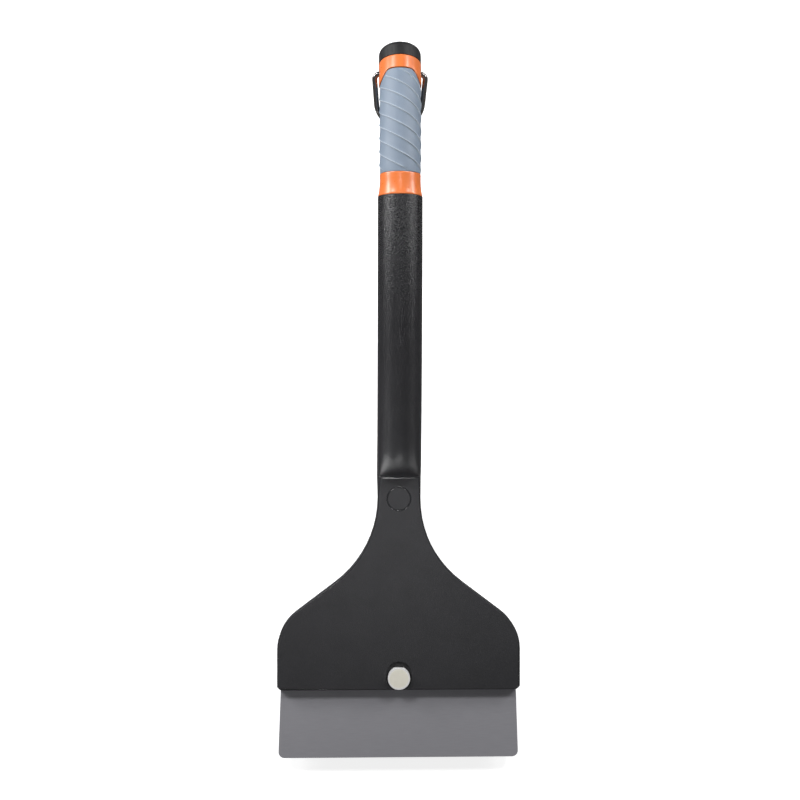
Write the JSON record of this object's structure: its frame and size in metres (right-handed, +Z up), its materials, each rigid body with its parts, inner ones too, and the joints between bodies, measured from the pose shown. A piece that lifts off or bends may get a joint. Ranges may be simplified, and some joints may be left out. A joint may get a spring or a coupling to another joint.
{
  "type": "hand scraper",
  "caption": "Long-handled hand scraper: wide flat steel blade clamped in a flared two-shell head, round arched handle, ribbed grip between collars, end cap and swinging hanging ring.",
  "frame": {"origin": "on the resting plane under the middle of the bounding box, the tool lying on its back", "axes": "+X across the blade to the right as seen from the front, +Y from the cutting edge to the end cap, +Z up out of the front face"},
  "size_m": [0.2062, 0.6038, 0.0515],
  "materials": {
    "moulded_black": "fine spark-eroded matt black moulding",
    "blade_steel": "ground spring steel, satin",
    "bright_steel": "nickel-plated steel, soft shine",
    "dark_steel": "dark polished steel wire",
    "collar_orange": "smooth orange plastic, half gloss",
    "grip_grey": "soft blue-grey rubber, matt",
    "cap_black": "black rubber, matt",
    "tube_steel": "zinc-plated steel"
  },
  "bodies": {
    "scraper": {"front_shell": "moulded_black", "back_shell": "moulded_black", "blade": "blade_steel", "clamp_bolt": "bright_steel", "clamp_washer": "tube_steel", "clamp_nut": "tube_steel", "shell_screw_1": "tube_steel", "shell_screw_2": "tube_steel", "shell_screw_3": "tube_steel", "shell_screw_4": "tube_steel", "shell_screw_5": "tube_steel", "handle_screw": "tube_steel", "core_tube": "tube_steel", "tube_dowel": "bright_steel", "lower_collar": "collar_orange", "grip_sleeve": "grip_grey", "upper_collar": "collar_orange", "end_cap": "cap_black", "ring_bush_right": "bright_steel", "ring_bush_left": "bright_steel"},
    "ring": {"hanging_ring": "dark_steel"}
  },
  "joints": [
    {"name": "ring_swing", "type": "hinge", "parent": "scraper", "child": "ring", "pos_m": [0, 0.27646, 0.02305], "axis": [1, 0, 0], "range_deg": [-9, 292]}
  ]
}
